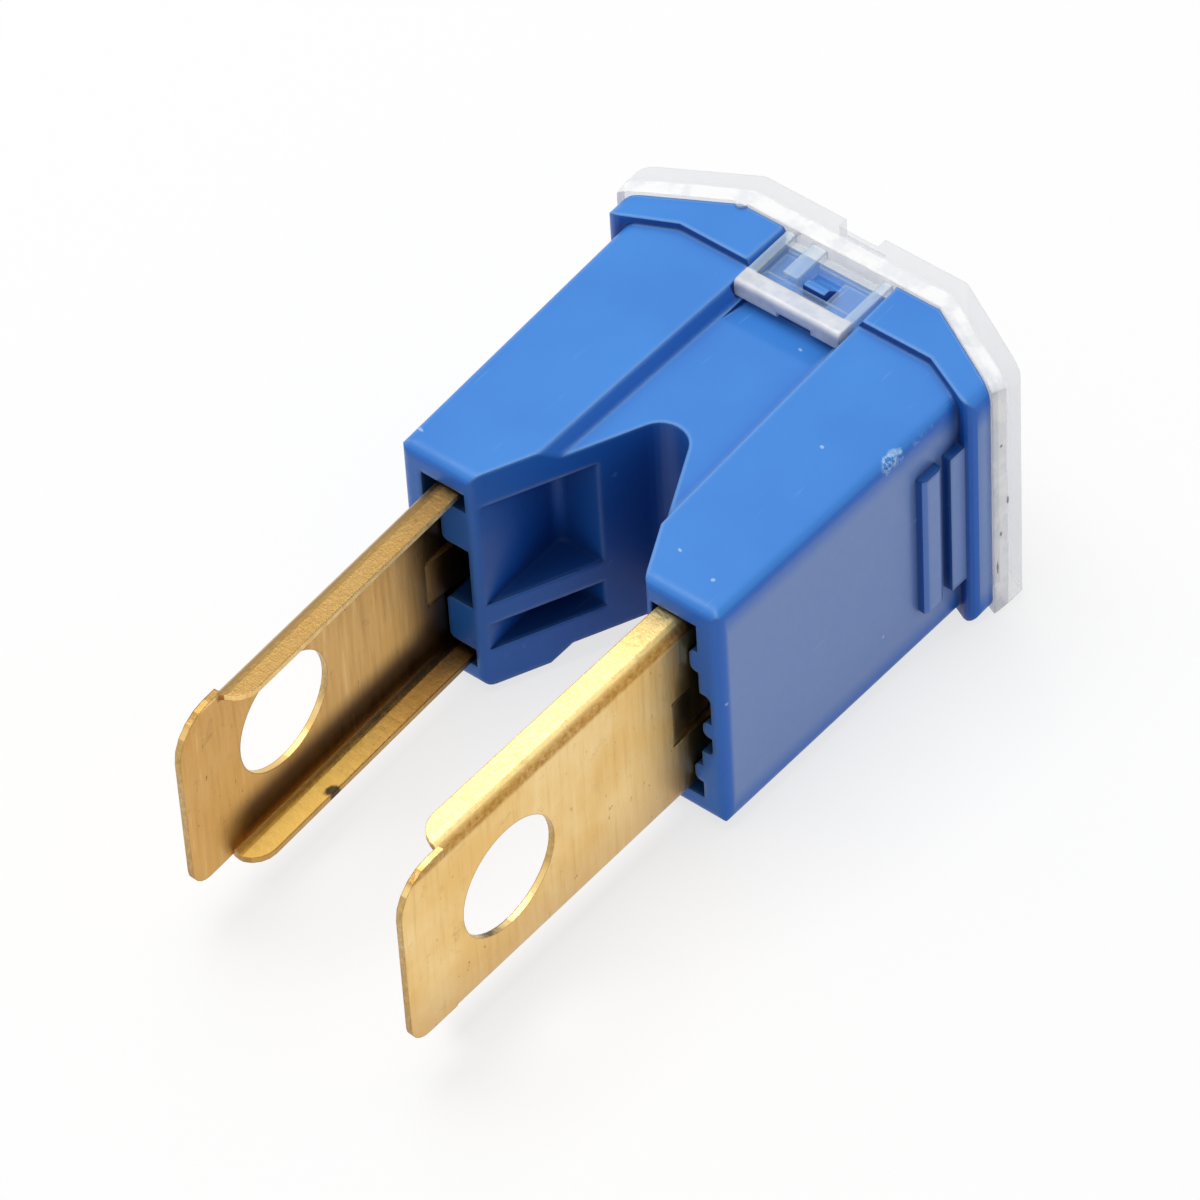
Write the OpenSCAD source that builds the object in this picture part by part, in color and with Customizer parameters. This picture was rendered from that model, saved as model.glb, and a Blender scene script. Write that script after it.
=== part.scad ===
// Bolt-down fusible link: a blue housing with two hollow legs, a stamped brass conductor whose
// two drilled blades leave the legs, a tin chip on its fusible strip, and a clear latched cover.
// It lies on a broad face: X across the legs, +Y towards the cover, +Z up.
// Lengths along Y are measured from the leg ends, and heights from the middle plane.

/* [Legs and body] */
// Length of the housing from the leg ends to the back of the flange
housing_l = 18.5; // [18.2:0.1:18.8]
// Width across the outer faces of the legs at their ends
leg_end_w = 16.3; // [15.8:0.1:16.6]
// Width of the body where it meets the flange
body_root_w = 17.1; // [16.8:0.1:17.8]
// Thickness across the two broad faces
body_h = 12.5; // [12.1:0.1:12.8]
// Radius on the outer edges of the body
body_edge_r = 0.5; // [0.1:0.05:0.6]
// Radius on the upright outer corners of the leg ends
leg_corner_r = 0.5; // [0.2:0.05:0.6]
// Radius on the upright corners between the leg ends and the notch
notch_corner_r = 0.4; // [0.1:0.05:0.4]
// Width of the notch between the legs at their ends
notch_w = 9.0; // [8.4:0.1:9.2]
// Angle of each flank of the notch from the Y axis
notch_flank_angle = 25.7; // [25:0.1:29]
// Radius of the root of the notch
notch_root_r = 1.2; // [0.8:0.1:1.6]

/* [Cored pockets in the notch flanks] */
// Distance between the floors of the two facing pockets
core_w = 8.7; // [8.2:0.1:8.8]
// Reach of the pockets from the leg ends
core_y = 5.1; // [4:0.1:5.6]
// Lowest and highest level of the tall pocket
tall_core_z = [-1.4, 4.4];
// Lowest and highest level of the slot pocket
slot_core_z = [-4.1, -2.6];

/* [Flange] */
// Width of the flange
flange_w = 19.0; // [18.6:0.1:19.4]
// Thickness of the flange across the broad faces
flange_h = 13.1; // [12.9:0.1:13.3]
// Depth of the flange along Y in the middle
flange_d = 2.4; // [2.2:0.1:2.6]
// Width of the straight middle stretch of the flange's front edge
flange_front_flat_w = 12.9; // [12:0.1:14]
// Distance by which the flange's front corners lie ahead of its front edge
flange_sweep = 1.45; // [1.2:0.05:1.6]
// Width of the straight middle stretch of the flange's back edge
flange_back_flat_w = 10.2; // [9.4:0.1:10.8]
// Depth of the flange along its narrow sides
flange_side_d = 1.4; // [1.2:0.05:1.6]
// Radius on the long corners of the flange
flange_edge_r = 0.7; // [0.2:0.05:0.9]
// Radius on the upright front corners of the flange
flange_corner_r = 0.5; // [0.2:0.05:0.6]

/* [Latch channel] */
// Depth of the channel in each broad face
channel_depth = 0.7; // [0.5:0.05:0.8]
// Width of the channel floor at the flange
channel_floor_w = 4.9; // [4.4:0.1:5.2]
// Sideways run of each sloping channel wall
channel_wall_run = 0.4; // [0.2:0.05:0.6]
// Angle by which each channel wall opens out towards the legs
channel_flare = 1.6; // [0:0.1:2.4]
// Length of the shallow ramp in front of the latch bar
ramp_l = 1.3; // [1:0.1:2.4]
// Depth of that ramp at its deep end
ramp_depth = 0.25; // [0.2:0.05:0.55]
// Height of the snap nub above the channel floor
nub_rise = 0.6; // [0.4:0.05:0.7]
// Length of the snap nub along the channel
nub_l = 1.0; // [0.8:0.05:1.1]
// Distance from the latch bar to the snap nub
nub_setback = 0.85; // [0.75:0.05:0.95]

/* [Grip ribs] */
// Height of the grip ribs on each narrow side
rib_h = 7.8; // [6:0.1:8.6]
// Distance that the ribs stand out of the side
rib_rise = 0.45; // [0.3:0.05:0.6]
// Width of the free rib
rib_w = 1.2; // [0.8:0.1:1.4]
// Groove between the free rib and the rib on the flange
rib_groove = 0.5; // [0.4:0.05:0.7]
// Width of the rib that joins the flange
root_rib_w = 0.6; // [0.4:0.05:0.8]

/* [Inner spaces of the housing] */
// Depth of the head chamber from the back of the flange
chamber_d = 9.1; // [8.5:0.1:9.3]
// Width of the head chamber
chamber_w = 14.8; // [14.4:0.1:15]
// Height of the head chamber under the latch channels
chamber_mid_h = 9.0; // [8.6:0.1:9.4]
// Space above and below a blade in its leg
blade_end_gap = 0.1; // [0.05:0.05:0.2]
// Space between a blade's face and the lugs that guide it
lug_gap = 0.08; // [0.04:0.02:0.14]
// Space between a blade's outer face and the plain outer wall of its leg
blade_side_gap = 0.5; // [0.4:0.05:0.6]
// Space between a blade's flange edge and the inner wall of its leg
flange_side_gap = 0.3; // [0.2:0.05:0.35]
// Levels of the lug pair near one broad face, on the outer wall
outer_lug_top_z = [2.4, 3.6];
// Levels of the lug pair near the other broad face, on the outer wall
outer_lug_low_z = [-4.2, -3.2];
// Lowest and highest level of the relief in the outer wall at the leg mouth
relief_z = [-2.3, 1.2];
// Depth of that relief
relief_d = 0.55; // [0.3:0.05:0.6]
// Lowest and highest level of the tooth in the relief
tooth_z = [-1.25, -0.4];
// Distance that the tooth stands out of the relief
tooth_rise = 0.45; // [0.3:0.05:0.5]
// Levels of the upper lug on the inner wall
inner_lug_top_z = [1.8, 4.1];
// Levels of the lower lug on the inner wall
inner_lug_low_z = [-4.1, -1.6];

/* [Conductor sheet and blades] */
// Thickness of the brass sheet
sheet_t = 0.3; // [0.25:0.05:0.4]
// Distance between the outer faces of the blades where they leave the legs
blade_spacing = 13.1; // [12.9:0.1:13.2]
// Height of a blade across its two folded flanges
blade_h = 10.1; // [9.6:0.1:10.3]
// Width of a folded flange, with the sheet
fold_w = 1.45; // [1.3:0.05:1.55]
// Outer radius of the folds
fold_r = 0.7; // [0.6:0.05:0.85]
// Angle by which each blade leans in towards the other
toe_in = 1.1; // [0:0.1:1.3]
// Reach of the right blade beyond the leg end
blade_reach = 17.4; // [16.5:0.1:18.5]
// Length by which the left blade comes out shorter
left_short = 1.0; // [0:0.1:1.2]
// Distance from a blade's tip to the ends of its flanges
flange_setback = 2.5; // [1.8:0.1:2.8]
// Radius on the free corner of each flange end
flange_end_r = 1.2; // [0.4:0.1:1.3]
// Lowest level of the flat tip of a blade
tip_low_z = -4.6; // [-4.7:0.05:-4.2]
// Highest level of the flat tip of a blade
tip_top_z = 4.9; // [4.6:0.05:5.05]
// Radius on the upper corner of the flat tip
tip_top_r = 2.0; // [0.6:0.1:2.2]
// Radius on the lower corner of the flat tip
tip_low_r = 1.0; // [0.6:0.1:2]
// Diameter of the screw hole in each blade
hole_d = 5.5; // [5:0.1:6]
// Distance from a blade's tip to the centre of its hole
hole_from_tip = 6.2; // [5.4:0.05:7]
// Level of the right hole's centre
right_hole_z = 0; // [-0.8:0.1:0.8]
// Level of the left hole's centre
left_hole_z = 0.5; // [-0.8:0.1:1]

/* [Locking lances] */
// Distance of each lance's root outside the leg end
lance_root = 1.1; // [0.6:0.1:1.6]
// Length of a lance
lance_l = 3.0; // [2.4:0.1:3.4]
// Lowest and highest level of a lance
lance_z = [-1.3, 1.0];
// Width of the slits beside a lance
lance_slit = 0.15; // [0.1:0.05:0.3]
// Angle by which a lance springs in
lance_angle = 8; // [5:1:10]
// Space between a lance's end and the stop that it catches
lance_stop_gap = 0.15; // [0.1:0.05:0.3]
// Length of the stop along the leg
lance_stop_l = 1.5; // [1:0.1:2.5]

/* [Fusible strip] */
// Distance from the leg ends to where the blade flanges stop inside
inner_flange_end_y = 6.0; // [4:0.5:8]
// Distance from the strip's high runs to where a blade narrows into the strip
shoulder_drop = 4.7; // [3.9:0.1:5.4]
// Width of the strip
strip_w = 3.2; // [2.4:0.1:4]
// Distance from the back of the flange to the middle of the strip's high runs
strip_head_space = 2.2; // [2:0.1:2.6]
// Distance between the strip's high runs and its low run
strip_drop = 3.9; // [3.4:0.1:4.3]
// Distance from the middle to each inner leg of the strip
strip_leg_x = 2.1; // [1.9:0.1:2.6]
// Radius at the middle of the strip's bends
strip_bend_r = 0.9; // [0.7:0.05:1]
// Width of the fusible neck
neck_w = 1.5; // [1:0.1:2]
// Length of the fusible neck
neck_l = 1.9; // [1.6:0.1:2]
// Length of the tin chip along the strip
chip_l = 1.3; // [1:0.1:1.5]
// Thickness of the tin chip
chip_t = 0.8; // [0.5:0.1:1]
// Length of the claws that hold the chip
claw_l = 0.9; // [0.6:0.1:1]
// Thickness of the claws
claw_t = 0.3; // [0.2:0.05:0.4]

/* [Clear cover] */
// Width of the cover across its back corners before they are rounded
cover_w = 20.15; // [19.8:0.05:20.4]
// Width of the cover where it meets the flange
cover_front_w = 19.3; // [19.1:0.1:19.6]
// Thickness of the cover across the broad faces
cover_h = 13.4; // [13.3:0.1:13.7]
// Depth of the cover from the flange to its back in the middle
cover_d = 1.75; // [1.6:0.05:2]
// Depth of the cover along its narrow sides
cover_side_d = 1.55; // [1.4:0.05:1.7]
// Radius on the upright corners of the cover's back
cover_corner_r = 0.5; // [0.3:0.1:1]
// Width of the straight middle stretch of the cover's back
cover_back_flat_w = 10.4; // [9.6:0.1:11]
// Radius on the long corners of the cover
cover_edge_r = 0.9; // [0.4:0.05:1.2]
// Wall of the cover
cover_wall = 0.9; // [0.8:0.05:1]
// Depth of the plug lip below the flange's back
lip_d = 1.2; // [0.8:0.1:1.3]
// Wall of the plug lip
lip_wall = 0.6; // [0.5:0.05:0.7]
// Space round the plug lip in the chamber
lip_gap = 0.1; // [0.05:0.05:0.2]
// Width of the small notch in the back edges
back_notch_w = 2.0; // [1.4:0.1:2.4]
// Depth of that notch
back_notch_d = 0.5; // [0.3:0.05:0.7]
// Radius of the small nub beside the left bend
edge_nub_r = 0.3; // [0.2:0.05:0.4]

/* [Latches of the cover] */
// Width of a latch
latch_w = 5.4; // [5:0.1:5.6]
// Reach of a latch from the back of the flange
latch_l = 3.6; // [3.3:0.05:3.7]
// Depth of the latch bar along Y
latch_bar_d = 0.9; // [0.7:0.05:1]
// Thickness of the latch bar
latch_bar_t = 0.9; // [0.7:0.05:0.95]
// Thickness of the thin web of a latch
latch_web_t = 0.45; // [0.3:0.05:0.5]
// Thickness of the latch arms
latch_arm_t = 0.85; // [0.6:0.05:0.9]
// Width of the latch arms
latch_arm_w = 0.45; // [0.3:0.05:0.6]
// Width of the rib between the open window and the left pane
latch_rib_w = 0.75; // [0.4:0.05:0.9]
// Depth by which the two panes of the web are thinner than the web
latch_pane_d = 0.15; // [0.05:0.05:0.2]
// Space between a latch and the channel floor
latch_gap = 0.08; // [0.04:0.02:0.14]
// Space beside a latch in its seat
latch_side_gap = 0.12; // [0.06:0.02:0.2]
// Width of the open window that the snap nub fills
window_w = 1.4; // [1.2:0.1:1.8]
// Length of the window
window_l = 1.35; // [1.3:0.05:1.5]
// Space all round the nub in the window
window_gap = 0.15; // [0.1:0.05:0.2]
// Width and depth of the step in the latch bar's lip
bar_step = [1.75, 0.3];
// Distance of that step from the middle of the latch
bar_step_x = 0.35; // [0:0.05:0.8]

/* [Hidden] */

// Overshoot of cuts, and overlap of joined solids
over = 1;
join = 0.2;
// Length that reaches past the whole part
far = 60;
// Half angle above which a corner counts as straight
nearly_straight = 89.5;

blue = [0.16, 0.44, 0.86];
clear_plastic = [0.93, 0.95, 0.97, 0.45];
brass = [0.84, 0.68, 0.36];
tin = [0.75, 0.76, 0.78];

flange_back_y = housing_l;
flange_front_y = flange_back_y - flange_d;
flange_corner_y = flange_front_y - flange_sweep;
chamber_floor_y = flange_back_y - chamber_d;
latch_front_y = flange_back_y - latch_l;
strip_high_y = flange_back_y - strip_head_space;
strip_low_y = strip_high_y - strip_drop;
shoulder_y = strip_high_y - shoulder_drop;
left_reach = blade_reach - left_short;

// Place of the part frame: the middle of its box, on the surface it lies on
cover_back_y = flange_back_y + cover_d;
tip_y = -blade_reach * cos(toe_in);
centre_y = (cover_back_y + tip_y) / 2;
stand_z = cover_h / 2;

body_taper = atan((body_root_w - leg_end_w) / 2 / flange_corner_y);
notch_point_y = notch_w / 2 / tan(notch_flank_angle);
channel_z = body_h / 2 - channel_depth;
channel_top_w = channel_floor_w + 2 * channel_wall_run;
flange_corner_back_y = flange_corner_y + flange_side_d;
flange_back_slope =
    (flange_back_y - flange_corner_back_y) / (flange_w - flange_back_flat_w) * 2;

blade_x = blade_spacing / 2;
lug_outer_x = blade_x + lug_gap;
lug_inner_x = blade_x - sheet_t - lug_gap;
leg_outer_x = blade_x + blade_side_gap;
leg_inner_x = blade_x - fold_w - flange_side_gap;
relief_x = leg_outer_x + relief_d;
lance_stop_y = lance_l - lance_root + lance_stop_gap;
leg_space_h = blade_h + 2 * blade_end_gap;

latch_z = channel_z + latch_gap;
nub_front_y = latch_front_y + latch_bar_d + nub_setback;
nub_x = 0.05;
window_front_y = nub_front_y - window_gap;

// Distance along Y of the flange's back edge at a distance x from the middle
function flange_back_at(x) =
    flange_back_y - max(0, x - flange_back_flat_w / 2) * flange_back_slope;

// Unit vector from one point to another
function towards(p, q) = (q - p) / norm(q - p);

// Points of one corner of an outline, rounded to a radius
function corner(a, p, b, r, steps) =
    let (u = towards(p, a), v = towards(p, b))
    let (half = acos(max(-1, min(1, u * v))) / 2)
    r <= 0 || half > nearly_straight ? [p] :
    let (m = (u + v) / norm(u + v), c = p + m * r / sin(half))
    let (s = p + u * r / tan(half) - c, e = p + v * r / tan(half) - c)
    let (turn = acos(max(-1, min(1, s * e / r / r))))
    [for (i = [0 : steps])
        let (k = i / steps)
        c + (s * sin((1 - k) * turn) + e * sin(k * turn)) / sin(turn)];

// An outline with each corner rounded to its own radius
function rounded(points, radii, steps = 5) =
    let (n = len(points))
    [for (i = [0 : n - 1])
        each corner(points[(i + n - 1) % n], points[i], points[(i + 1) % n], radii[i], steps)];

// The corners of a rectangle from its low corner to its high corner
function box_points(low, high) =
    [low, [high[0], low[1]], high, [low[0], high[1]]];

// A half outline on the +X side and its mirror image, as one loop
function both_sides(half) =
    concat(half, [for (i = [len(half) - 1 : -1 : 0]) [-half[i][0], half[i][1]]]);

// Radii for a half outline and its mirror image
function mirrored(half) =
    concat(half, [for (i = [len(half) - 1 : -1 : 0]) half[i]]);

// The same value for every corner
function same(value, count) = [for (i = [1 : count]) value];

module in_place() translate([0, -centre_y, stand_z]) children();

// Extrusions of an outline along Z, along Y (drawn in X and Z) and along X (drawn in Y and Z)
module along_z(low, high) translate([0, 0, low]) linear_extrude(height = high - low) children();
module along_y(low, high)
    translate([0, high, 0]) rotate([90, 0, 0]) linear_extrude(height = high - low) children();
module along_x(low, high)
    translate([low, 0, 0]) rotate([90, 0, 90]) linear_extrude(height = high - low) children();

module both_x() {
    children();
    mirror([1, 0, 0]) children();
}

module both_z() {
    children();
    mirror([0, 0, 1]) children();
}

// ---- Housing ----

// A bar with rounded long edges whose +X face follows one side of the body
module body_side_bar() {
    half_h = body_h / 2;
    translate([leg_end_w / 2, 0, 0])
        rotate([0, 0, -body_taper])
            along_y(-far, far)
                polygon(rounded(box_points([-far, -half_h], [0, half_h]),
                    [0, body_edge_r, body_edge_r, 0]));
}

module body() {
    half_h = body_h / 2;
    intersection() {
        along_z(-far, far)
            polygon(both_sides([
                [far, -over],
                [far, flange_corner_y + flange_side_d / 2],
                [body_root_w / 2 + over, flange_corner_y + flange_side_d / 2],
                [flange_front_flat_w / 2, flange_front_y + join]
            ]));
        both_sides_bar();
        along_x(-far, far)
            polygon(rounded(box_points([0, -half_h], [far, half_h]),
                [body_edge_r, 0, 0, body_edge_r]));
    }
}

module both_sides_bar() {
    intersection() {
        body_side_bar();
        mirror([1, 0, 0]) body_side_bar();
    }
}

module flange() {
    half_h = flange_h / 2;
    intersection() {
        along_z(-half_h, half_h)
            polygon(rounded(
                both_sides([
                    [flange_front_flat_w / 2, flange_front_y],
                    [flange_w / 2, flange_corner_y],
                    [flange_w / 2, flange_corner_back_y],
                    [flange_back_flat_w / 2, flange_back_y]
                ]),
                mirrored([0, flange_corner_r, 0, 0])));
        along_y(0, far)
            polygon(rounded(box_points([-flange_w / 2, -half_h], [flange_w / 2, half_h]),
                same(flange_edge_r, 4)));
    }
}

// Two upright ribs on a narrow side, the second one grown onto the flange
module grip_ribs() {
    root_rib_y = flange_corner_y - root_rib_w;
    free_rib_y = root_rib_y - rib_groove - rib_w;
    lead = rib_rise / 2;
    translate([leg_end_w / 2, 0, 0])
        rotate([0, 0, -body_taper])
            along_z(-rib_h / 2, rib_h / 2) {
                polygon([
                    [-join, free_rib_y],
                    [rib_rise - lead / 2, free_rib_y],
                    [rib_rise, free_rib_y + lead],
                    [rib_rise, free_rib_y + rib_w - lead],
                    [rib_rise - lead / 2, free_rib_y + rib_w],
                    [-join, free_rib_y + rib_w]
                ]);
                translate([-join, root_rib_y])
                    square([rib_rise + join, root_rib_w + flange_side_d / 2]);
            }
}

// What a rounding takes off the upright corner at p between the ways to a and to b
module corner_cut(a, p, b, r) {
    along_z(-far, far)
        polygon(concat(corner(a, p, b, r, 5), [p - (towards(p, a) + towards(p, b)) * over]));
}

module leg_corners() {
    outer = [leg_end_w / 2, 0];
    inner = [notch_w / 2, 0];
    both_x() {
        corner_cut(inner, outer, [body_root_w / 2, flange_corner_y], leg_corner_r);
        corner_cut(outer, inner, [0, notch_point_y], notch_corner_r);
    }
}

module notch_outline() {
    spread = (notch_point_y + over) * tan(notch_flank_angle);
    polygon(rounded([[-spread, -over], [spread, -over], [0, notch_point_y]],
        [0, 0, notch_root_r], 10));
}

module cored_pockets() {
    half = core_w / 2;
    outline = rounded(box_points([-half, -over], [half, core_y]), [0, 0, 0.5, 0.5]);
    along_z(tall_core_z[0], tall_core_z[1]) polygon(outline);
    along_z(slot_core_z[0], slot_core_z[1]) polygon(outline);
}

// One half of the channel cut, with its sloping wall on the +X side
module channel_half() {
    floor_x = channel_floor_w / 2;
    slope = channel_wall_run / channel_depth;
    translate([floor_x, latch_front_y, 0])
        rotate([0, 0, channel_flare])
            along_y(-far, far)
                polygon([
                    [-far, channel_z],
                    [0, channel_z],
                    [slope * (channel_depth + over), channel_z + channel_depth + over],
                    [-far, channel_z + channel_depth + over]
                ]);
}

module latch_seat() {
    seat_w = latch_w + 2 * latch_side_gap;
    ramp_w = channel_floor_w - 0.2;
    intersection() {
        channel_half();
        mirror([1, 0, 0]) channel_half();
    }
    translate([-seat_w / 2, latch_front_y - latch_side_gap, channel_z])
        cube([seat_w, far, far]);
    along_x(-ramp_w / 2, ramp_w / 2)
        polygon([
            [latch_front_y - 2 * ramp_l, channel_z + ramp_depth],
            [latch_front_y, channel_z - ramp_depth],
            [latch_front_y + latch_bar_d / 2, channel_z - ramp_depth],
            [latch_front_y + latch_bar_d / 2, channel_z + ramp_depth]
        ]);
}

// Wedge that the latch window snaps over: steep to the front, sloping to the back
module snap_nub() {
    half = window_w / 2 - window_gap;
    along_x(nub_x - half, nub_x + half)
        polygon([
            [nub_front_y, channel_z - join],
            [nub_front_y, channel_z + nub_rise],
            [nub_front_y + nub_l / 3, channel_z + nub_rise],
            [nub_front_y + nub_l, channel_z],
            [nub_front_y + nub_l, channel_z - join]
        ]);
}

// Section of the space in the right leg, in X and Z
module leg_space() {
    half = leg_space_h / 2;
    translate([leg_inner_x, -half]) square([leg_outer_x - leg_inner_x, leg_space_h]);
}

module outer_lug(levels) {
    polygon(rounded(box_points([lug_outer_x, levels[0]], [leg_outer_x + join, levels[1]]),
        [0.3, 0, 0, 0.3]));
}

module inner_lug(levels) {
    polygon(rounded(box_points([leg_inner_x - join, levels[0]], [lug_inner_x, levels[1]]),
        [0, 0.3, 0.3, 0]));
}

// Section of the relief in the outer wall, with its tooth
module mouth_relief() {
    difference() {
        polygon(rounded(
            box_points([blade_x, relief_z[0]], [relief_x, relief_z[1]]), [0, 0.3, 0.3, 0]));
        polygon(rounded(
            box_points([relief_x - tooth_rise, tooth_z[0]], [relief_x + join, tooth_z[1]]),
            [0.3, 0, 0, 0.3]));
    }
}

module leg_mouth() {
    difference() {
        union() {
            leg_space();
            mouth_relief();
        }
        outer_lug(outer_lug_top_z);
        outer_lug(outer_lug_low_z);
        inner_lug(inner_lug_top_z);
        inner_lug(inner_lug_low_z);
    }
}

// Section of the leg where the stop for the lance stands on the inner wall
module leg_stop() {
    difference() {
        leg_space();
        inner_lug(lance_z);
    }
}

module inner_spaces() {
    both_x() {
        along_y(-over, lance_stop_y) leg_mouth();
        along_y(lance_stop_y, lance_stop_y + lance_stop_l) leg_stop();
        along_y(lance_stop_y + lance_stop_l, far) leg_space();
    }
    half_w = chamber_w / 2;
    side_w = half_w - leg_inner_x;
    along_y(chamber_floor_y, far) {
        translate([-half_w, -chamber_mid_h / 2]) square([chamber_w, chamber_mid_h]);
        for (x = [-half_w, leg_inner_x])
            translate([x, -leg_space_h / 2]) square([side_w, leg_space_h]);
    }
}

module housing() {
    color(blue)
        in_place()
            difference() {
                union() {
                    difference() {
                        union() {
                            body();
                            flange();
                            both_x() grip_ribs();
                        }
                        both_z() latch_seat();
                    }
                    both_z() snap_nub();
                }
                along_z(-far, far) notch_outline();
                leg_corners();
                cored_pockets();
                inner_spaces();
            }
}

// ---- Conductor: both blades and the strip are one stamping ----

// C section of a blade, its outer face at X = 0
module blade_section() {
    half = blade_h / 2;
    inner_r = max(0.1, fold_r - sheet_t);
    difference() {
        polygon(rounded(box_points([-fold_w, -half], [0, half]), [0, fold_r, fold_r, 0]));
        polygon(rounded(
            box_points([-fold_w - over, sheet_t - half], [-sheet_t, half - sheet_t]),
            [0, inner_r, inner_r, 0]));
    }
}

module blade_tip(reach) {
    along_x(-sheet_t, 0)
        polygon(rounded(
            box_points([-reach, tip_low_z], [-reach + flange_setback + join, tip_top_z]),
            [tip_low_r, 0, 0, tip_top_r]));
}

// Screw hole whose axis crosses the blade
module blade_hole(reach, level) {
    translate([-sheet_t - over, hole_from_tip - reach, level])
        rotate([0, 90, 0])
            cylinder(d = hole_d, h = sheet_t + 2 * over, $fn = 64);
}

// Window left by the lance and its slits
module lance_window() {
    slit = lance_slit;
    translate([-sheet_t - over, -lance_root, lance_z[0] - slit])
        cube([sheet_t + 2 * over, lance_l + slit, lance_z[1] - lance_z[0] + 2 * slit]);
}

// Tongue that springs in from the blade's plane
module lance() {
    way = [-sin(lance_angle), cos(lance_angle)];
    across = [-cos(lance_angle), -sin(lance_angle)];
    root = [0, -lance_root];
    bend = sheet_t * tan(lance_angle / 2);
    along_z(lance_z[0], lance_z[1])
        polygon([
            root - [0, join],
            root,
            root + lance_l * way,
            root + lance_l * way + sheet_t * across,
            root - [sheet_t, bend],
            root - [sheet_t, bend + join]
        ]);
}

module blade(reach, hole_level) {
    flange_y = flange_setback - reach;
    half = blade_h / 2 - sheet_t - fold_r;
    difference() {
        union() {
            intersection() {
                along_y(flange_y, inner_flange_end_y) blade_section();
                along_z(-far, far)
                    polygon(rounded(
                        box_points([-fold_w, flange_y], [over, inner_flange_end_y]),
                        [flange_end_r, 0, 0, flange_end_r]));
            }
            blade_tip(reach);
            translate([-sheet_t, inner_flange_end_y - join, -half])
                cube([sheet_t, shoulder_y - inner_flange_end_y + join, 2 * half]);
        }
        blade_hole(reach, hole_level);
        lance_window();
    }
    lance();
}

// A quarter bend of the strip, from +Y at X = radius towards -X
module quarter_bend(radius) {
    inner = radius - sheet_t / 2;
    outer = radius + sheet_t / 2;
    intersection() {
        difference() {
            circle(r = outer, $fn = 48);
            circle(r = inner, $fn = 48);
        }
        square(outer + over);
    }
}

// Half of the strip's path: up beside the blade, in, down, and along the low run
module half_strip_path() {
    r = strip_bend_r;
    t = sheet_t;
    start_x = blade_x - t / 2 + shoulder_y * tan(toe_in);
    translate([start_x - t / 2, shoulder_y - join]) square([t, strip_high_y - r - shoulder_y + join]);
    translate([start_x - r, strip_high_y - r]) quarter_bend(r);
    translate([strip_leg_x + r, strip_high_y - t / 2]) square([start_x - strip_leg_x - 2 * r, t]);
    translate([strip_leg_x + r, strip_high_y - r]) mirror([1, 0]) quarter_bend(r);
    translate([strip_leg_x - t / 2, strip_low_y + r])
        square([t, strip_high_y - strip_low_y - 2 * r]);
    translate([strip_leg_x - r, strip_low_y + r]) mirror([0, 1]) quarter_bend(r);
    translate([-join, strip_low_y - t / 2]) square([strip_leg_x - r + join, t]);
}

// Waists that leave the fusible neck in the low run
module neck_waists() {
    depth = (strip_w - neck_w) / 2;
    both_z()
        along_y(strip_low_y - over, strip_low_y + strip_bend_r - sheet_t / 2)
            polygon(rounded(
                box_points([-neck_l / 2, neck_w / 2], [neck_l / 2, strip_w / 2 + over]),
                [depth / 2, depth / 2, 0, 0]));
}

// Two claws that rise beside the chip and fold over its back
module claws() {
    top_y = strip_low_y + sheet_t / 2 + chip_t;
    half = claw_l / 2;
    both_z() {
        translate([-half, strip_low_y - sheet_t / 2, neck_w / 2 - join])
            cube([claw_l, sheet_t, join + claw_t]);
        translate([-half, strip_low_y - sheet_t / 2, neck_w / 2])
            cube([claw_l, sheet_t + chip_t + claw_t, claw_t]);
        translate([-half, top_y, neck_w / 6])
            cube([claw_l, claw_t, neck_w / 3 + claw_t]);
    }
}

module placed_blade(reach, hole_level) {
    translate([blade_x, 0, 0]) rotate([0, 0, -toe_in]) blade(reach, hole_level);
}

module conductor() {
    color(brass)
        in_place() {
            placed_blade(blade_reach, right_hole_z);
            mirror([1, 0, 0]) placed_blade(left_reach, left_hole_z);
            difference() {
                along_z(-strip_w / 2, strip_w / 2) {
                    half_strip_path();
                    mirror([1, 0]) half_strip_path();
                }
                neck_waists();
            }
            claws();
        }
}

module tin_chip() {
    half_x = chip_l / 2;
    half_z = neck_w / 2;
    color(tin)
        in_place()
            along_y(strip_low_y + sheet_t / 2, strip_low_y + sheet_t / 2 + chip_t)
                polygon(rounded(box_points([-half_x, -half_z], [half_x, half_z]), same(0.15, 4)));
}

// ---- Cover ----

// Outline of the cover, moved in by a wall, its front edge moved forward by a lead
function cover_outline(wall, lead) =
    let (side_back_y = flange_back_at(cover_front_w / 2) + cover_side_d)
    let (flat = cover_back_flat_w / 2)
    let (bevel = atan((cover_back_y - side_back_y) / (cover_w / 2 - flat)))
    let (front_x = cover_front_w / 2 - wall)
    both_sides([
        [flange_back_flat_w / 2, flange_back_y - lead],
        [front_x, flange_back_at(front_x) - lead],
        [cover_w / 2 - wall, side_back_y - wall * tan((90 - bevel) / 2)],
        [flat - wall * tan(bevel / 2), cover_back_y - wall]
    ]);

module cover_shell() {
    half = cover_h / 2;
    inner = half - cover_wall;
    inner_r = max(0.1, cover_edge_r - cover_wall);
    difference() {
        intersection() {
            along_z(-half, half)
                polygon(rounded(cover_outline(0, 0),
                    mirrored([0, 0, cover_corner_r, cover_corner_r])));
            along_y(0, far)
                polygon(rounded(box_points([-cover_w / 2, -half], [cover_w / 2, half]),
                    same(cover_edge_r, 4)));
        }
        along_z(-inner, inner) polygon(cover_outline(cover_wall, over));
        both_z()
            translate([-back_notch_w / 2, cover_back_y - back_notch_d, inner])
                cube([back_notch_w, far, far]);
    }
}

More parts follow.
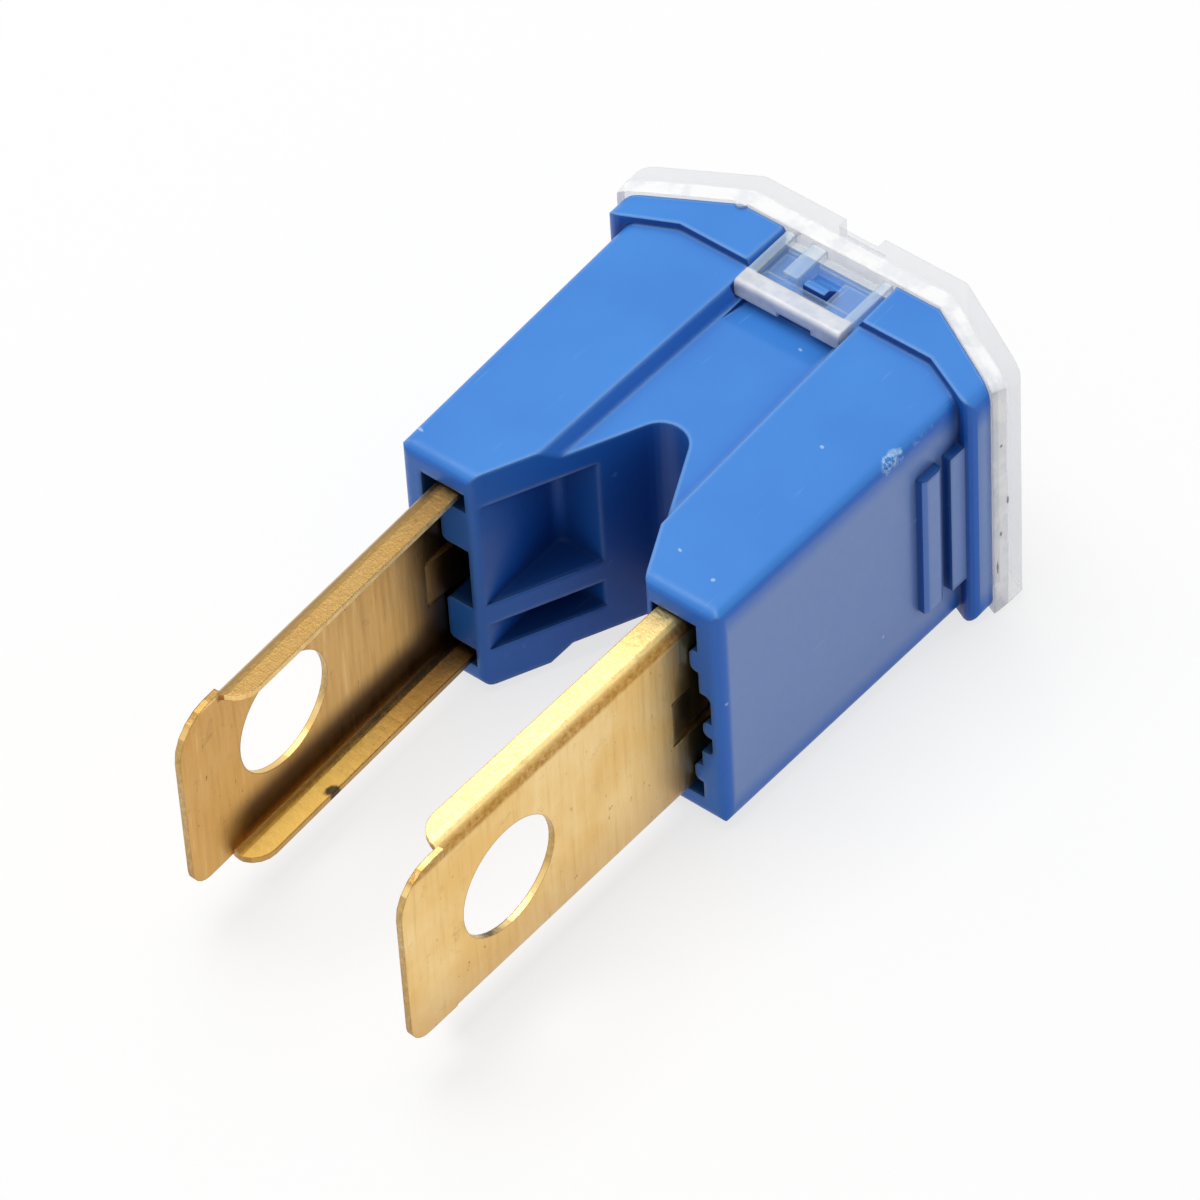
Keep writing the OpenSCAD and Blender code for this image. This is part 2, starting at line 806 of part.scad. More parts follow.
// Lip that plugs into the mouth of the chamber
module plug_lip() {
    half_w = chamber_w / 2 - lip_gap;
    half_h = chamber_mid_h / 2 - lip_gap;
    intersection() {
        along_z(-far, far) polygon(cover_outline(cover_wall / 2, lip_d));
        along_y(0, far)
            difference() {
                square([2 * half_w, 2 * half_h], center = true);
                square([2 * (half_w - lip_wall), 2 * (half_h - lip_wall)], center = true);
            }
    }
}

module latch_bar() {
    half = latch_w / 2;
    step = bar_step;
    difference() {
        along_x(-half, half)
            polygon(rounded(
                box_points([latch_front_y, latch_z],
                    [latch_front_y + latch_bar_d, latch_z + latch_bar_t]),
                [0.1, 0, 0, 0.2], 3));
        translate([bar_step_x - step[0] / 2, latch_front_y - over, latch_z - over])
            cube([step[0], step[1] + over, latch_bar_t / 3 + over]);
    }
}

// The two thinner panes beside the middle rib and the open window
module latch_panes() {
    inner = latch_w / 2 - latch_arm_w;
    rib_x = nub_x - window_w / 2 - latch_rib_w;
    pane_z = latch_z + latch_web_t - latch_pane_d;
    translate([-inner, window_front_y, pane_z]) cube([inner + rib_x, window_l, over]);
    translate([nub_x + window_w / 2 - join, window_front_y, pane_z])
        cube([inner - nub_x - window_w / 2 + join, window_l, over]);
}

// A latch: bar, two arms and a middle rib on a thin web, with the window for the snap nub
module latch() {
    half = latch_w / 2;
    back_y = flange_back_y + cover_wall;
    arm_y = latch_front_y + latch_bar_d - join;
    arm_l = back_y - arm_y;
    latch_bar();
    difference() {
        union() {
            difference() {
                translate([-half, arm_y, latch_z]) cube([latch_w, arm_l, latch_web_t]);
                latch_panes();
            }
            for (x = [-half, half - latch_arm_w])
                translate([x, arm_y, latch_z]) cube([latch_arm_w, arm_l, latch_arm_t]);
            translate([nub_x - window_w / 2 - latch_rib_w, window_front_y, latch_z])
                cube([latch_rib_w, back_y - window_front_y, latch_arm_t]);
        }
        translate([nub_x - window_w / 2, window_front_y, latch_z - over])
            cube([window_w, window_l, latch_arm_t + 2 * over]);
    }
}

module cover() {
    color(clear_plastic)
        in_place() {
            cover_shell();
            plug_lip();
            both_z() latch();
            translate([-flange_back_flat_w / 2, flange_back_y, flange_h / 2])
                cylinder(r = edge_nub_r, h = (cover_h - flange_h) / 2, $fn = 24);
        }
}

housing();
cover();
conductor();
tin_chip();
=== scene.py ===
import bpy
from mathutils import Matrix, Vector

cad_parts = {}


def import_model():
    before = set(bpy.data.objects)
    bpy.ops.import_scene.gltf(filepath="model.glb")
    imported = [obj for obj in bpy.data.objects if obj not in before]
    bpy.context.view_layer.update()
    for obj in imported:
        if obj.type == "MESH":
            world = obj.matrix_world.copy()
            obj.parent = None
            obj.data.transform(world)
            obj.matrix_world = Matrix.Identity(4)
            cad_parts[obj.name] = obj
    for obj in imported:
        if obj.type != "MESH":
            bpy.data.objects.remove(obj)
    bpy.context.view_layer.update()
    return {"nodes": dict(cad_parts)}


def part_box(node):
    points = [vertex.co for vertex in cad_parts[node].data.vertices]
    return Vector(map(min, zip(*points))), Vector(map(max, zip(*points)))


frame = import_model()
nodes = frame["nodes"]
MM = 0.001


# ---- Places ----
# In mm from the middle of the leg ends: x across the legs, y towards the head, z up
# from the middle plane. at() and Shade.fit() turn them into the part frame and back.

low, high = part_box("housing")
LEG_END_Y = low[1] / MM
MID_Z = (low[2] + high[2]) / 2 / MM
FLANGE_BACK_Y = (high[1] - low[1]) / MM
# the flange's back edge is straight in the middle and bends forward to both sides
FLANGE_BACK_FLAT_X = 5.1
FLANGE_BACK_SLOPE = 0.557
BODY_SIDE_X = 8.0
BODY_FACE_Z = 6.25
LATCH_BAR_Y = 15.85
COVER_SIDE_X = 9.85
BLADE_FOLD_Z = 4.66

# Specks on the broad face and the side: place and size
SPECKS = {
    "in the channel": ((1.25, 14.2, 5.55), (0.16, 0.1, 0.3)),
    "right leg, middle": ((5.76, 9.83, BODY_FACE_Z), (0.13, 0.1, 0.3)),
    "right leg, inner end": ((1.9, 2.98, BODY_FACE_Z), (0.1, 0.1, 0.3)),
    "right leg, end": ((4.66, 2.06, BODY_FACE_Z), (0.14, 0.08, 0.3)),
    "right leg, outer end": ((6.71, 1.58, BODY_FACE_Z), (0.12, 0.12, 0.3)),
    "left leg, end": ((-7.89, 1.07, BODY_FACE_Z), (0.3, 0.1, 0.3)),
    "right side": ((8.3, 0.3, 0.92), (0.4, 0.13, 0.13)),
}

# Scuff on the right upper arris, and the trail behind it: place and size
SCUFF = ((8.6, 11.1, 6.15), (0.6, 0.95, 0.6))
SCUFF_TRAIL = ((8.75, 12.8, 6.15), (0.4, 1.5, 0.5))

# Dirt on the cover's right side: place and size
DIRT = {
    "top": ((COVER_SIDE_X, 16.39, 3.23), (0.6, 0.09, 0.09)),
    "middle": ((COVER_SIDE_X, 16.69, -0.17), (0.6, 0.08, 0.32)),
    "lower": ((COVER_SIDE_X, 16.33, -1.96), (0.6, 0.07, 0.2)),
    "bottom": ((COVER_SIDE_X, 16.15, -3.9), (0.6, 0.07, 0.5)),
}

# Marks on the left blade: the dark end of its upper flange, and a nick in the lower one
FLANGE_END_MARK = ((-6.1, -16.35, 4.45), (0.6, 0.35, 0.55))
NICK = ((-5.06, -8.95, -4.9), (0.3, 0.5, 0.5))


def at(x, y, z):
    """A place in the part frame, in mm."""
    return (x, y + LEG_END_Y, z + MID_Z)


# ---- Colours ----

def linear(r, g, b):
    """sRGB 0..255 to linear 0..1."""
    def one(c):
        c /= 255.0
        return c / 12.92 if c <= 0.04045 else ((c + 0.055) / 1.055) ** 2.4
    return (one(r), one(g), one(b))


BLUE = linear(54, 127, 213)
BLUE_LIGHT = linear(60, 135, 219)
BLUE_UPRIGHT_SHADE = linear(22, 104, 216)
BLUE_SIDE_SHEEN = linear(138, 164, 212)
BLUE_HOLLOW_SHADE = linear(13, 48, 118)
BLUE_EDGE_HIGHLIGHT = linear(150, 196, 246)
BLUE_SCRATCHED = linear(150, 192, 240)
BLUE_SCUFFED = linear(176, 212, 244)
DUST = linear(190, 215, 243)

CLEAR_SIDE_LIT = linear(252, 253, 255)
CLEAR_TOP = linear(226, 229, 233)
CLEAR_LATCH = linear(216, 238, 255)
CLEAR_BAR = linear(229, 232, 237)
CLEAR_BAND_HIGHLIGHT = linear(255, 255, 255)
CLEAR_BAND_REFLECTION = linear(236, 239, 243)
CLEAR_REFRACTION_LINE = linear(176, 184, 194)
GRIME = linear(96, 92, 98)

BRASS = linear(236, 194, 116)
BRASS_LIGHT = linear(245, 212, 146)
BRASS_INNER_SHADE = linear(208, 154, 74)
BRASS_STREAK_DARK = linear(190, 142, 78)
BRASS_STREAK_LIGHT = linear(252, 230, 178)
BRASS_LIT_GRAIN_DARK = linear(247, 217, 144)
BRASS_LIT_GRAIN_LIGHT = linear(255, 232, 164)
BRASS_SHADED_GRAIN_DARK = linear(132, 102, 56)
BRASS_SHADED_GRAIN_LIGHT = linear(168, 132, 76)
BRASS_LOWER_TIP_HIGHLIGHT = linear(255, 210, 100)
BRASS_LOWER_MOUTH_HIGHLIGHT = linear(206, 146, 56)
BRASS_FOLD_SHADE = linear(160, 108, 34)
BRASS_BEND_SHADE = linear(74, 44, 16)
BRASS_MOUTH_SHADE = linear(78, 52, 24)
BRASS_BELOW = linear(178, 128, 84)
BRASS_STAIN = linear(150, 108, 60)
BRASS_PIT = linear(112, 76, 36)
BRASS_CUT = linear(118, 84, 52)
BRASS_CUT_HIGHLIGHT = linear(255, 218, 146)
BRASS_MARK = linear(82, 64, 40)
BRASS_NICK = linear(62, 52, 48)

TIN_DARK = linear(170, 172, 176)
TIN_LIGHT = linear(196, 198, 202)


# ---- Node helpers ----

class Tree:
    """A node tree wired by short calls."""

    def __init__(self, tree):
        self.tree = tree
        self.tree.nodes.clear()

    def put(self, socket, value):
        """Link an output to a socket, or give the socket a value."""
        if hasattr(value, "is_output"):
            self.tree.links.new(value, socket)
        elif socket.type == "RGBA":
            socket.default_value = (*value, 1.0)
        else:
            socket.default_value = value

    def feed(self, node, sockets):
        for name, value in sockets.items():
            self.put(node.inputs[name], value)

    def add(self, kind, sockets=None, **props):
        """A node with its properties set and its inputs fed, by name or number."""
        node = self.tree.nodes.new(kind)
        for name, value in props.items():
            setattr(node, name, value)
        self.feed(node, sockets or {})
        return node

    def math(self, op, *values):
        return self.add("ShaderNodeMath", dict(enumerate(values)), operation=op).outputs[0]

    def times(self, product, *values):
        for value in values:
            product = self.math("MULTIPLY", product, value)
        return product

    def plus(self, a, b):
        return self.math("ADD", a, b)

    def minus(self, a, b):
        return self.math("SUBTRACT", a, b)

    def most(self, a, b):
        return self.math("MAXIMUM", a, b)

    def least(self, a, b):
        return self.math("MINIMUM", a, b)

    def size(self, value):
        return self.math("ABSOLUTE", value)

    def ramp(self, value, start, end, out_start=0.0, out_end=1.0, kind="SMOOTHSTEP"):
        node = self.add("ShaderNodeMapRange", {
            "Value": value, "From Min": start, "From Max": end,
            "To Min": out_start, "To Max": out_end}, interpolation_type=kind)
        return node.outputs["Result"]

    def mix(self, factor, a, b):
        return self.add("ShaderNodeMix", {0: factor, 6: a, 7: b}, data_type="RGBA").outputs[2]


class Shade(Tree):
    """A material with one Principled shader, whose colour is laid in coats."""

    def __init__(self, name):
        self.mat = bpy.data.materials.new(name)
        self.mat.use_nodes = True
        super().__init__(self.mat.node_tree)
        self.bsdf = self.add("ShaderNodeBsdfPrincipled")
        self.add("ShaderNodeOutputMaterial", {"Surface": self.bsdf.outputs[0]})
        geometry = self.add("ShaderNodeNewGeometry").outputs
        self.pos = geometry["Position"]
        self.normal = geometry["Normal"]

    def shader(self, sockets):
        self.feed(self.bsdf, sockets)

    def coat(self, mask, colour, share=1.0):
        """Lay a share of a colour over the colour so far, where the mask is 1."""
        amount = mask if share == 1.0 else self.times(mask, share)
        self.colour = self.mix(amount, self.colour, colour)

    # Places and directions

    def coords(self, scale=(1, 1, 1), shift=(0, 0, 0), turn=(0, 0, 0)):
        """Position in mm in the part frame, scaled, turned and shifted."""
        node = self.add("ShaderNodeMapping", {
            "Vector": self.pos, "Scale": [s / MM for s in scale],
            "Rotation": turn, "Location": shift}, vector_type="POINT")
        return node.outputs[0]

    def fit(self):
        """x, y and z as in the places above."""
        return self.split(self.coords(shift=(0, -LEG_END_Y, -MID_Z)))

    def split(self, vector):
        return self.add("ShaderNodeSeparateXYZ", {0: vector}).outputs

    def vector(self, op, *values):
        return self.add("ShaderNodeVectorMath", dict(enumerate(values)), operation=op).outputs

    def agree(self, normal):
        """1 where a softened normal is the face's own, less on an edge."""
        return self.vector("DOT_PRODUCT", normal, self.normal)["Value"]

    # Masks and patterns

    def noise(self, vector, scale, detail, rough=0.5):
        node = self.add("ShaderNodeTexNoise", {
            "Vector": vector, "Scale": scale, "Detail": detail, "Roughness": rough})
        return node.outputs["Fac"]

    def cells(self, vector, scale):
        node = self.add("ShaderNodeTexVoronoi", {"Vector": vector, "Scale": scale})
        return node.outputs["Distance"]

    def near(self, value, place, reach, core=0.0):
        """1 within the core around a place, 0 beyond the reach."""
        return self.ramp(self.size(self.minus(value, place)), reach, core)

    def spot(self, place_and_size, turn=0.0, ragged=0.35, grain=2.0):
        """A worn spot: 1 at its place, fading to 0 at its size."""
        place, size = place_and_size
        moved = self.coords(shift=tuple(-c for c in at(*place)))
        turned = self.add("ShaderNodeMapping", {
            "Vector": moved, "Rotation": (0, 0, turn)}, vector_type="POINT").outputs[0]
        length = self.vector("LENGTH", self.vector("DIVIDE", turned, size)[0])["Value"]
        wobble = self.times(self.minus(self.noise(self.coords(), grain, 3.0), 0.5), ragged * 2)
        return self.ramp(self.plus(length, wobble), 1.0, 0.55)

    def spots(self, group, **looks):
        """All the spots of a group as one mask."""
        mask = 0.0
        for place_and_size in group.values():
            mask = self.most(mask, self.spot(place_and_size, **looks))
        return mask

    # Surface, with lengths in mm

    def occlusion(self, reach):
        """1 in the open, towards 0 deep in a hollow of the same piece."""
        node = self.add("ShaderNodeAmbientOcclusion", {"Distance": reach * MM},
                        samples=12, only_local=True)
        return node.outputs["AO"]

    def soft_edges(self, radius):
        return self.add("ShaderNodeBevel", {"Radius": radius * MM}, samples=6).outputs[0]

    def bump(self, height, strength, depth, normal):
        node = self.add("ShaderNodeBump", {
            "Height": height, "Strength": strength, "Distance": depth * MM, "Normal": normal})
        return node.outputs[0]


def dress(obj, mat):
    obj.data.materials.clear()
    obj.data.materials.append(mat)


# ---- Materials ----

def blue_plastic():
    s = Shade("blue_plastic")
    x, y, z = s.fit()
    nx, _, nz = s.split(s.normal)
    skin = s.coords()
    s.colour = s.mix(s.ramp(s.noise(skin, 0.16, 2.0), 0.3, 0.7), BLUE, BLUE_LIGHT)
    # painted shade: faces that don't look up or down get a deeper, darker blue
    upright = s.ramp(s.size(nz), 0.8, 0.3)
    s.coat(upright, BLUE_UPRIGHT_SHADE, share=0.7)

    # painted reflection: the narrow sides get a dull, greyish sheen away from their edges
    side = s.ramp(s.size(nx), 0.8, 0.97)
    leg_end = s.times(s.ramp(y, 1.6, 0.2), BODY_FACE_Z + 0.05)
    edge = s.most(s.size(z), leg_end)
    outer = s.ramp(s.size(x), BODY_SIDE_X - 0.1, BODY_SIDE_X + 0.1)
    side_sheen = s.times(side, s.ramp(edge, BODY_FACE_Z - 0.25, BODY_FACE_Z - 1.65), outer)
    s.coat(side_sheen, BLUE_SIDE_SHEEN, share=0.62)

    # painted shade: hollows are darkened by occlusion, much deeper in colour than the broad
    # faces
    shade = s.occlusion(reach=7.0)
    s.coat(s.ramp(shade, 0.93, 0.42, 0.0, 0.8, kind="LINEAR"), BLUE_HOLLOW_SHADE)

    # painted highlight: lighter arrises, most of all along the upper rims
    rounded = s.soft_edges(0.34)
    up = s.split(rounded)[2]
    rim = s.times(s.ramp(up, 0.6, 0.85), s.ramp(up, 0.995, 0.95))
    arris = s.times(s.ramp(s.agree(rounded), 0.985, 0.9), s.ramp(shade, 0.62, 0.8),
                    s.ramp(rim, 0.0, 1.0, 0.15, 0.6))
    s.coat(arris, BLUE_EDGE_HIGHLIGHT)

    # pale dust, the named specks and short scratches
    few = s.ramp(s.noise(skin, 0.45, 1.0), 0.6, 0.66)
    dust = s.times(s.ramp(s.cells(skin, 0.55), 0.06, 0.03), few)
    specks = s.spots(SPECKS, turn=0.4, ragged=0.2, grain=6.0)
    s.coat(s.most(dust, specks), DUST, share=0.55)
    scratch = s.noise(s.coords(scale=(2.6, 0.16, 1.0), turn=(0, 0, 0.5)), 1.7, 2.0)
    s.coat(s.ramp(scratch, 0.7, 0.78), BLUE_SCRATCHED, share=0.13)

    # the scuff and its fainter trail
    torn = s.ramp(s.noise(skin, 3.2, 4.0, 0.75), 0.4, 0.54)
    scuff = s.times(s.spot(SCUFF, turn=0.1, ragged=0.5, grain=3.0), torn)
    trail = s.times(s.spot(SCUFF_TRAIL, ragged=0.5, grain=3.0), torn)
    wear = s.plus(scuff, s.times(trail, 0.5))
    s.coat(s.least(wear, 0.85), BLUE_SCUFFED)

    # moulded skin: very slight waviness and fine grain
    wave = s.bump(s.noise(skin, 0.35, 2.0), 0.25, 0.06, rounded)
    grain = s.bump(s.noise(skin, 9.0, 3.0), 0.25, 0.006, wave)
    fine = s.ramp(s.noise(skin, 2.2, 4.0, 0.6), 0.3, 0.7, 0.32, 0.4)
    gloss = s.times(s.ramp(shade, 0.5, 0.95, 0.24, 0.34), s.ramp(side_sheen, 0.0, 1.0, 1.0, 1.5))
    s.shader({"Base Color": s.colour, "Roughness": s.plus(fine, s.times(wear, 0.25)),
              "IOR": 1.5, "Specular IOR Level": gloss, "Normal": grain})
    return s.mat


def clear_plastic():
    s = Shade("clear_plastic")
    x, y, z = s.fit()
    _, ny, nz = s.split(s.normal)
    cloud = s.noise(s.coords(), 0.8, 3.0, 0.6)

    # distance behind the flange's back edge
    beside = s.most(s.minus(s.size(x), FLANGE_BACK_FLAT_X), 0.0)
    behind = s.minus(y, s.minus(FLANGE_BACK_Y, s.times(beside, FLANGE_BACK_SLOPE)))

    # the latch, its end bar, and the inner band of the wall just behind the flange
    latch = s.ramp(behind, 0.0, -0.15)
    bar = s.times(s.ramp(y, LATCH_BAR_Y + 0.1, LATCH_BAR_Y - 0.1), latch)
    ragged = s.times(s.minus(cloud, 0.5), 0.25)
    band = s.most(s.minus(s.ramp(s.plus(behind, ragged), 0.9, 0.75), latch), 0.0)
    across = s.ramp(s.size(ny), 0.75, 0.4)
    band = s.times(band, across)

    # painted light: faces that don't look up are whiter than the top faces, to make up for the
    # light they lack
    s.colour = s.mix(s.ramp(s.size(nz), 0.5, 0.9), CLEAR_SIDE_LIT, CLEAR_TOP)
    s.coat(latch, CLEAR_LATCH)
    s.coat(bar, CLEAR_BAR)
    # painted highlights and painted reflection: the band is mottled with white patches and
    # grey
    s.coat(band, s.mix(s.ramp(cloud, 0.42, 0.6), CLEAR_BAND_HIGHLIGHT, CLEAR_BAND_REFLECTION))
    # painted refraction: a thin grey line where the wall changes thickness
    s.coat(s.times(s.near(behind, 0.98, reach=0.1), across), CLEAR_REFRACTION_LINE, share=0.35)
    dirt = s.spots(DIRT, ragged=0.45, grain=5.0)
    s.coat(dirt, GRIME, share=0.85)

    # see-through, but denser at a glance, in the band, in the bar and on the latch
    rounded = s.soft_edges(0.25)
    glance = s.add("ShaderNodeLayerWeight", {"Blend": 0.4}).outputs["Facing"]
    arris = s.ramp(s.agree(rounded), 0.99, 0.9)
    latch_top = s.times(latch, s.ramp(s.size(z), BODY_FACE_Z - 0.15, BODY_FACE_Z + 0.15))
    alpha = s.times(s.ramp(glance, 0.35, 0.95, 0.2, 0.4), s.ramp(latch, 0.0, 1.0, 1.0, 0.6))
    for denser in (s.times(band, 0.5),
                   s.times(bar, s.ramp(cloud, 0.35, 0.65, 0.35, 0.55)),
                   s.times(arris, latch, 0.25),
                   s.times(latch_top, 0.26),
                   s.times(dirt, 0.6)):
        alpha = s.plus(alpha, denser)

    wave = s.bump(s.noise(s.coords(), 0.6, 2.0), 0.3, 0.08, rounded)
    s.shader({"Base Color": s.colour, "Alpha": s.least(alpha, 0.95),
              "Roughness": s.ramp(cloud, 0.35, 0.7, 0.06, 0.18), "IOR": 1.49,
              "Normal": wave})
    return s.mat


def brass_sheet():
    s = Shade("brass_sheet")
    x, y, z = s.fit()
    nx, ny, nz = s.split(s.normal)
    right = s.ramp(x, -0.5, 0.5)
    left = s.minus(1.0, right)
    # faces that look towards the middle of the link, and all the others
    inward = s.ramp(s.times(nx, s.math("SIGN", x)), -0.2, -0.5)
    outward = s.minus(1.0, inward)
    up = s.ramp(nz, 0.55, 0.85)
    broad = s.noise(s.coords(), 0.22, 3.0, 0.6)
    streak = s.noise(s.coords(scale=(1.0, 2.6, 0.16)), 1.5, 4.0, 0.65)
    grain = s.noise(s.coords(scale=(1.6, 0.7, 0.7)), 5.0, 4.0, 0.7)

    s.colour = s.mix(s.ramp(broad, 0.35, 0.68), BRASS, BRASS_LIGHT)
    # painted shade: the left blade's inward faces are darker
    s.coat(s.times(inward, left), BRASS_INNER_SHADE, share=0.7)
    s.coat(s.ramp(streak, 0.5, 0.76), BRASS_STREAK_DARK, share=0.2)
    s.coat(s.ramp(streak, 0.42, 0.28), BRASS_STREAK_LIGHT, share=0.2)

    # upper flanges, grainy: a painted highlight makes the right blade's pale, painted shade
    # makes the left one's dull
    lit_flange = s.mix(s.ramp(grain, 0.4, 0.62), BRASS_LIT_GRAIN_DARK, BRASS_LIT_GRAIN_LIGHT)
    s.coat(s.times(up, right), lit_flange, share=0.8)
    shaded_flange = s.mix(grain, BRASS_SHADED_GRAIN_DARK, BRASS_SHADED_GRAIN_LIGHT)
    s.coat(s.times(up, left, s.ramp(z, 4.3, 4.8)), shaded_flange, share=0.9)
    # painted highlight on the left blade's lower flange, seen from inside, brighter towards
    # its tip
    pan = s.times(up, left, s.ramp(z, -4.3, -4.6))
    s.coat(pan, s.mix(s.ramp(y, -9.0, -2.0), BRASS_LOWER_TIP_HIGHLIGHT, BRASS_LOWER_MOUTH_HIGHLIGHT), share=0.85)

    # painted shade: a grainy dark band along the upper fold, and darkening in the inner lower
    # bend
    fold_shade = s.times(s.near(z, BLADE_FOLD_Z, reach=0.36, core=0.1), outward,
                   s.ramp(grain, 0.3, 0.65, 0.55, 1.0))
    s.coat(s.times(fold_shade, s.ramp(right, 0.0, 1.0, 0.35, 0.85)), BRASS_FOLD_SHADE)
    bend_shade = s.times(s.ramp(z, -1.6, -3.2), s.ramp(z, -4.6, -3.9, 0.25, 1.0), inward,
                   s.ramp(y, -15.2, -12.5))
    s.coat(bend_shade, BRASS_BEND_SHADE, share=0.92)

    # painted shade towards the leg mouths, where the blades go into the legs, and a browner
    # lower half outside
    cloudy = s.times(s.minus(broad, 0.5), 2.0)
    mouth_shade = s.ramp(s.plus(y, cloudy), -4.2, 0.2)
    s.coat(s.times(mouth_shade, s.ramp(inward, 0.0, 1.0, 0.5, 0.95)), BRASS_MOUTH_SHADE)
    s.coat(s.times(s.ramp(z, -1.0, -4.6), outward), BRASS_BELOW, share=0.3)

    # stains, and fine pits in patches and where the blade was pushed into the leg
    s.coat(s.ramp(s.noise(s.coords(), 0.9, 4.0, 0.7), 0.58, 0.76), BRASS_STAIN, share=0.3)
    pitted = s.noise(s.coords(scale=(1.0, 1.6, 0.8), turn=(0.35, 0, 0)), 2.1, 3.0, 0.6)
    patch = s.most(s.ramp(s.noise(s.coords(), 0.5, 1.0), 0.44, 0.58),
                   s.times(s.ramp(y, -7.5, -2.5), outward))
    pit = s.times(s.ramp(pitted, 0.66, 0.73), patch)
    s.coat(pit, BRASS_PIT, share=0.45)

    # cut edges are darker; the left upper flange's cut edge has a painted highlight
    rounded = s.soft_edges(0.09)
    arris = s.ramp(s.agree(rounded), 0.985, 0.88)
    cut = s.most(s.times(arris, 0.55), s.times(s.ramp(ny, -0.75, -0.95), 0.6))
    s.coat(s.times(cut, s.ramp(grain, 0.35, 0.6, 0.6, 1.0)), BRASS_CUT)
    cut_highlight = s.times(left, inward, s.ramp(z, 4.7, 4.78))
    s.coat(s.times(cut_highlight, s.ramp(grain, 0.35, 0.55, 0.6, 1.0)), BRASS_CUT_HIGHLIGHT)

    s.coat(s.spot(FLANGE_END_MARK, ragged=0.3, grain=3.0), BRASS_MARK, share=0.8)
    nick = s.spot(NICK, turn=0.3, ragged=0.4, grain=3.0)
    s.coat(nick, BRASS_NICK, share=0.9)

    # brushed sheet, with a grainier skin on the upward faces and the fold
    brushed = s.bump(s.noise(s.coords(scale=(1.0, 6.0, 0.7)), 2.0, 4.0), 0.3, 0.02, rounded)
    rolled = s.bump(grain, s.ramp(s.plus(up, fold_shade), 0.0, 1.0, 0.08, 0.5), 0.03, brushed)
    # the left blade's lower flange is shaded as if dished a little towards the middle
    lean = s.add("ShaderNodeVectorMath", {0: (1.0, 0.0, 0.0), "Scale": s.times(pan, 0.45)},
                 operation="SCALE").outputs[0]
    dished = s.vector("NORMALIZE", s.vector("ADD", rolled, lean)[0])[0]
    rough = s.plus(s.ramp(streak, 0.3, 0.8, 0.3, 0.46), s.times(s.most(pit, nick), 0.2))
    s.shader({"Base Color": s.colour, "Metallic": 1.0, "Roughness": rough,
              "Normal": dished})
    return s.mat


def dull_tin():
    s = Shade("dull_tin")
    cloud = s.noise(s.coords(), 1.5, 3.0)
    s.shader({"Base Color": s.mix(cloud, TIN_DARK, TIN_LIGHT), "Metallic": 1.0,
              "Roughness": s.ramp(cloud, 0.3, 0.7, 0.35, 0.5),
              "Normal": s.bump(cloud, 0.4, 0.03, s.normal)})
    return s.mat


dress(nodes["housing"], blue_plastic())
dress(nodes["cover"], clear_plastic())
dress(nodes["conductor"], brass_sheet())
dress(nodes["tin_chip"], dull_tin())


# ---- Floor ----

FLOOR_HALF = 2.0                    # metres
FLOOR_GAP = 0.02                    # mm below the part: no two faces lie in one plane
FLOOR_DIRECT = (0.96, 0.96, 0.96)
FLOOR_BOUNCE = (0.72, 0.72, 0.72)
FLOOR_GLOW = 0.72                   # share of plain white where it is seen or mirrored


def floor():
    mesh = bpy.data.meshes.new("floor")
    r = FLOOR_HALF
    mesh.from_pydata([(-r, -r, 0), (r, -r, 0), (r, r, 0), (-r, r, 0)], [], [(0, 1, 2, 3)])
    obj = bpy.data.objects.new("floor", mesh)
    bpy.context.scene.collection.objects.link(obj)
    mat = bpy.data.materials.new("floor")
    mat.use_nodes = True
    t = Tree(mat.node_tree)
    ray = t.add("ShaderNodeLightPath").outputs
    tone = t.mix(ray["Is Diffuse Ray"], FLOOR_DIRECT, FLOOR_BOUNCE)
    soft = t.add("ShaderNodeBsdfDiffuse", {"Color": tone}).outputs[0]
    glow = t.add("ShaderNodeEmission").outputs[0]
    share = t.times(t.most(ray["Is Camera Ray"], ray["Is Glossy Ray"]), FLOOR_GLOW)
    both = t.add("ShaderNodeMixShader", {0: share, 1: soft, 2: glow}).outputs[0]
    t.add("ShaderNodeOutputMaterial", {"Surface": both})
    dress(obj, mat)
    obj.location.z = -FLOOR_GAP * MM


floor()


# ---- Light, in metres ----

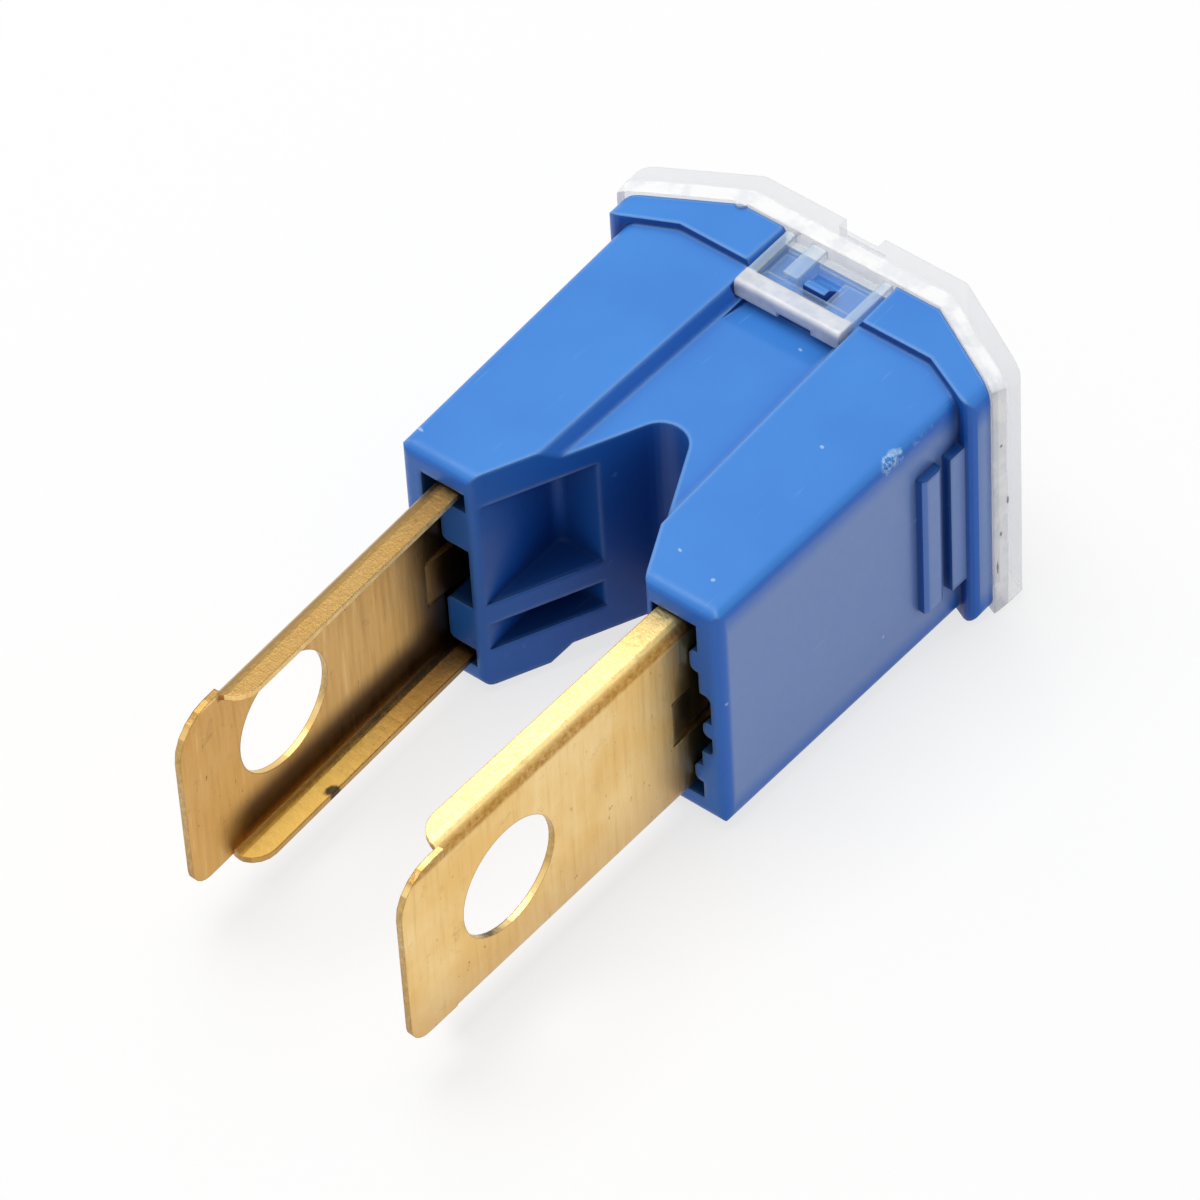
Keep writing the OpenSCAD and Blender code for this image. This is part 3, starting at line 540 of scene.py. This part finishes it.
SKY_LIGHTS = 0.45                   # strength that lights the part
SKY_SEEN = 1.0                      # strength seen, mirrored or through the cover
KEY_PLACE = (-0.12, 0.02, 0.50)
KEY_TARGET = (0, 0, 0.005)
KEY_SIDE = 0.36
KEY_WATTS = 1.75


def world():
    w = bpy.data.worlds.new("studio")
    bpy.context.scene.world = w
    w.use_nodes = True
    t = Tree(w.node_tree)
    ray = t.add("ShaderNodeLightPath").outputs
    seen = t.most(ray["Is Camera Ray"], ray["Is Glossy Ray"])
    seen = t.most(seen, ray["Is Transmission Ray"])
    level = t.ramp(seen, 0.0, 1.0, SKY_LIGHTS, SKY_SEEN, kind="LINEAR")
    back = t.add("ShaderNodeBackground", {"Color": (1, 1, 1), "Strength": level}).outputs[0]
    t.add("ShaderNodeOutputWorld", {"Surface": back})


def key_light():
    data = bpy.data.lights.new("key", "AREA")
    data.shape = "RECTANGLE"
    data.size = data.size_y = KEY_SIDE
    data.energy = KEY_WATTS
    obj = bpy.data.objects.new("key", data)
    bpy.context.scene.collection.objects.link(obj)
    obj.location = KEY_PLACE
    way = Vector(KEY_TARGET) - Vector(KEY_PLACE)
    obj.rotation_euler = way.to_track_quat("-Z", "Y").to_euler()


world()
key_light()


# ---- Camera, solved from the photograph ----

CAMERA_PLACE = (149.80, -167.24, 248.08)        # mm from the middle of the leg ends
CAMERA_RIGHT = (0.77917, 0.62534, -0.04291)
CAMERA_DOWN = (0.44035, -0.59482, -0.67252)
CAMERA_LENS = 249.35
CAMERA_SENSOR = 36.0
CAMERA_CLIP = 0.01                              # metres


def camera():
    data = bpy.data.cameras.new("camera")
    data.sensor_width = CAMERA_SENSOR
    data.lens = CAMERA_LENS
    data.clip_start = CAMERA_CLIP
    obj = bpy.data.objects.new("camera", data)
    bpy.context.scene.collection.objects.link(obj)
    right = Vector(CAMERA_RIGHT).normalized()
    down = Vector(CAMERA_DOWN)
    down = (down - right * down.dot(right)).normalized()
    ahead = right.cross(down)
    place = Vector(at(*CAMERA_PLACE)) * MM
    turn = Matrix((right, -down, -ahead)).transposed()
    obj.matrix_world = Matrix.Translation(place) @ turn.to_4x4()
    bpy.context.scene.camera = obj


camera()
bpy.context.scene.view_settings.view_transform = "Standard"
